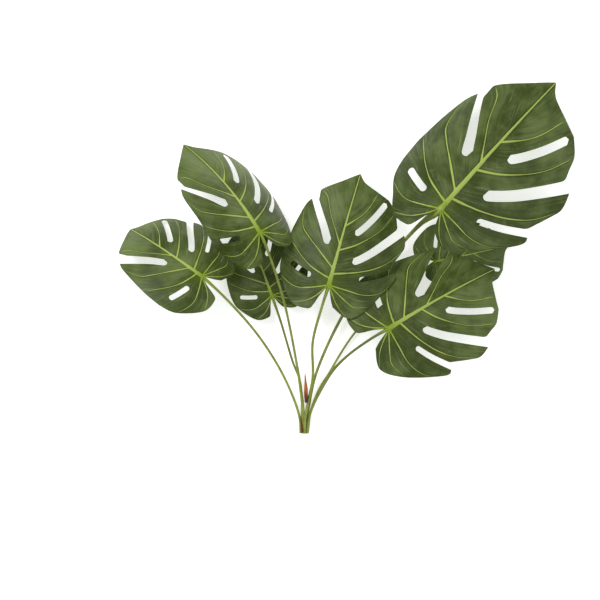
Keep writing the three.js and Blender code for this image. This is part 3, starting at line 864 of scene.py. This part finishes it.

# %% [markdown]
# ### Stalk: moulded polyethylene over wire
#
# The stalks are moulded in a yellower green than the blades, with painted shade that darkens them
# towards the blade, some more than others, and a bright green end. They are smooth, with small
# darker specks, and slightly shiny. The cut foot shows the pale plastic.

# %% Stalk material
def stalk_material():
    """A green that painted shade (attribute shade) darkens and young brightens, with the pale cut at the
    foot.
    """
    material, tree, shader = new_material("moulded_polyethylene")
    place = add_node(tree, "ShaderNodeTexCoord")
    young, flesh, shade = (
        (add_node(tree, "ShaderNodeAttribute", dict(attribute_name=key)), "Fac")
        for key in ("young", "flesh", "shade")
    )
    blotch = add_node(tree, "ShaderNodeTexNoise", Vector=(place, "Object"), Scale=60.0, Detail=3.0)
    fine = add_node(tree, "ShaderNodeTexNoise", Vector=(place, "Object"), Scale=700.0, Detail=2.0)
    body = mix(tree, ramp(tree, (blotch, 0), 0.3, 0.7), colour("838e2a"), colour("9fa84c"))
    # Painted shade: darker towards the blade, by the attribute shade.
    body = mix(tree, shade, body, colour("4a5c22"))
    body = mix(tree, ramp(tree, young, 0.85, 1.0), body, colour("8da232"))
    body = mix(tree, ramp(tree, (fine, 0), 0.55, 0.8), body, colour("5f7020"))
    body = mix(tree, flesh, body, colour("c9cf9a"))
    tree.links.new(body[0].outputs[body[1]], shader.inputs["Base Color"])
    shader.inputs["Roughness"].default_value = 0.42
    bump = add_node(tree, "ShaderNodeBump", Height=(fine, 0), Strength=0.15, Distance=0.0003)
    tree.links.new(bump.outputs[0], shader.inputs["Normal"])
    return material


stalk_plastic = stalk_material()
print("stalk material:", len(stalk_plastic.node_tree.nodes), "nodes")

# %% [markdown]
# ### Sheath and scale: printed and dry
#
# The sheath is orange and turns dark red-brown at its foot, with a dull mauve point. The scale
# is a dry dark brown. Both are matt, with fibres along them.

# %% Sheath and scale materials
def dry_material(name, stops):
    """stops are (height, hex) from the foot to the point."""
    material, tree, shader = new_material(name)
    place = add_node(tree, "ShaderNodeTexCoord")
    height = add_node(tree, "ShaderNodeAttribute", dict(attribute_name="height"))
    shade = add_node(tree, "ShaderNodeValToRGB", Fac=(height, "Fac"))
    while len(shade.color_ramp.elements) < len(stops):
        shade.color_ramp.elements.new(0.5)
    for element, (at, code) in zip(shade.color_ramp.elements, stops):
        element.position = at
        element.color = colour(code)
    # Fibres 0.4 mm apart and about 8 mm long.
    long = add_node(tree, "ShaderNodeMapping", Vector=(place, "Object"), Scale=(2400.0, 120.0, 2400.0))
    fibre = add_node(tree, "ShaderNodeTexNoise", Vector=(long, 0), Scale=1.0, Detail=2.0)
    worn = mix(tree, ramp(tree, (fibre, 0), 0.5, 0.75), (shade, 0), colour(stops[0][1]))
    tree.links.new(worn[0].outputs[worn[1]], shader.inputs["Base Color"])
    shader.inputs["Roughness"].default_value = 0.62
    bump = add_node(tree, "ShaderNodeBump", Height=(fibre, 0), Strength=0.3, Distance=0.0003)
    tree.links.new(bump.outputs[0], shader.inputs["Normal"])
    return material


SHEATH_COLOURS = [(0.0, "43190a"), (0.25, "7c330d"), (0.45, "bf6a1e"), (0.8, "b8601f"), (1.0, "93605a")]
SCALE_COLOURS = [(0.0, "6a3a14"), (0.5, "5a2c10"), (1.0, "7b3c1a")]
sheath_film = dry_material("printed_sheath_film", SHEATH_COLOURS)
scale_film = dry_material("dry_scale_film", SCALE_COLOURS)
print("materials:", [material.name for material in bpy.data.materials])

# %% [markdown]
# ## Handing the pieces over
#
# Each piece rides on the model's one body, stands for its plain CAD solid, which it hides, and
# gets its material here.

# %% Ride, replace and give materials
def hand_over(piece, node, material):
    """Gives a piece its material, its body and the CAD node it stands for."""
    piece.data.materials.append(material)
    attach(piece, "root")
    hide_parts(node)


for leaf in LEAVES:
    hand_over(blades[leaf["name"]], f"leaf_{leaf['name']}", leaf_film)
    hand_over(stalks[leaf["name"]], f"stalk_{leaf['name']}", stalk_plastic)
hand_over(sheath, "new_leaf_sheath", sheath_film)
hand_over(scale, "foot_scale", scale_film)
print("pieces handed over:", 2 * len(LEAVES) + 2)

# %% [markdown]
# ## Floor and light
#
# A white table that glows a little, as a light table does, and broad soft light from above. One
# large lamp stands to the upper left, so the blades catch it in pale patches, and a weaker one
# on the right keeps the shadows soft.

# %% Floor and lights
FLOOR_HALF = 6.0
FLOOR_HEIGHT = -0.0004  # just below the spray, so that no face lies in another
signs = [(-1, -1), (1, -1), (1, 1), (-1, 1)]
corners = [(x * FLOOR_HALF, y * FLOOR_HALF, FLOOR_HEIGHT) for x, y in signs]
floor_mesh = bpy.data.meshes.new("floor")
floor_mesh.from_pydata(corners, [], [(0, 1, 2, 3)])
floor = bpy.data.objects.new("floor", floor_mesh)
bpy.context.collection.objects.link(floor)
opal, _, opal_shader = new_material("opal_light_table")
opal_shader.inputs["Base Color"].default_value = (0.9, 0.9, 0.9, 1.0)
opal_shader.inputs["Roughness"].default_value = 0.9
opal_shader.inputs["Specular IOR Level"].default_value = 0.1
opal_shader.inputs["Emission Color"].default_value = (1.0, 1.0, 1.0, 1.0)
opal_shader.inputs["Emission Strength"].default_value = 0.55
floor.data.materials.append(opal)

world = bpy.data.worlds.new("studio")
world.use_nodes = True
world.node_tree.nodes["Background"].inputs["Color"].default_value = (1.0, 1.0, 1.0, 1.0)
world.node_tree.nodes["Background"].inputs["Strength"].default_value = 0.42
bpy.context.scene.world = world


def softbox(name, place, size, power):
    """A square lamp that faces the middle of the spray."""
    data = bpy.data.lights.new(name, "AREA")
    data.size = size
    data.energy = power
    lamp = bpy.data.objects.new(name, data)
    lamp.location = place
    toward = -np.array(place)
    lamp.rotation_euler = (
        math.atan2(math.hypot(toward[0], toward[1]), -toward[2]),
        0,
        math.atan2(toward[1], toward[0]) - math.pi / 2,
    )
    bpy.context.collection.objects.link(lamp)
    return lamp


softbox("key_softbox", (-1.4, 1.2, 2.4), 1.4, 50)
softbox("fill_softbox", (1.6, -0.6, 2.0), 1.8, 16)
bpy.context.scene.view_settings.view_transform = "Standard"
print("floor in metres:", 2 * FLOOR_HALF, "lamps:", [lamp.name for lamp in bpy.data.lights])
